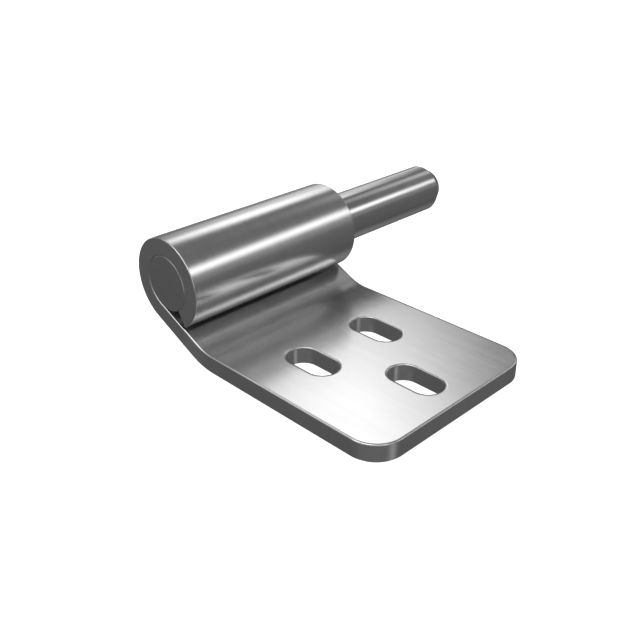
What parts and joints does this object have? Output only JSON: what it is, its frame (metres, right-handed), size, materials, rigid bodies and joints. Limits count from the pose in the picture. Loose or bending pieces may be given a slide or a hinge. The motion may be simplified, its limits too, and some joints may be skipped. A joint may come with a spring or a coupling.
{
  "type": "vehicle cab hinge",
  "caption": "Pin half of a lift-off cab door hinge: a cranked steel plate with slotted bolt holes, curled into an eye that holds a round pin with a tapered lead-in tip.",
  "frame": {"origin": "on the hinge axis, in the plane of the knuckle's shoulder that the other half of the hinge bears on", "axes": "+X along the hinge axis to the pin's tip, -Y towards the outer edge of the mounting plate, +Z away from the surface that the plate is bolted to"},
  "size_m": [0.112, 0.0905, 0.0337],
  "materials": {
    "sheet_steel": "bare rolled sheet, bright satin, fine scuffs, slightly duller sheared edges",
    "pin_steel": "bare bright drawn bar, satin, faint turning rings on the chamfered tip and the ends"
  },
  "bodies": {
    "root": {"leaf": "sheet_steel", "pin": "pin_steel"}
  },
  "joints": []
}
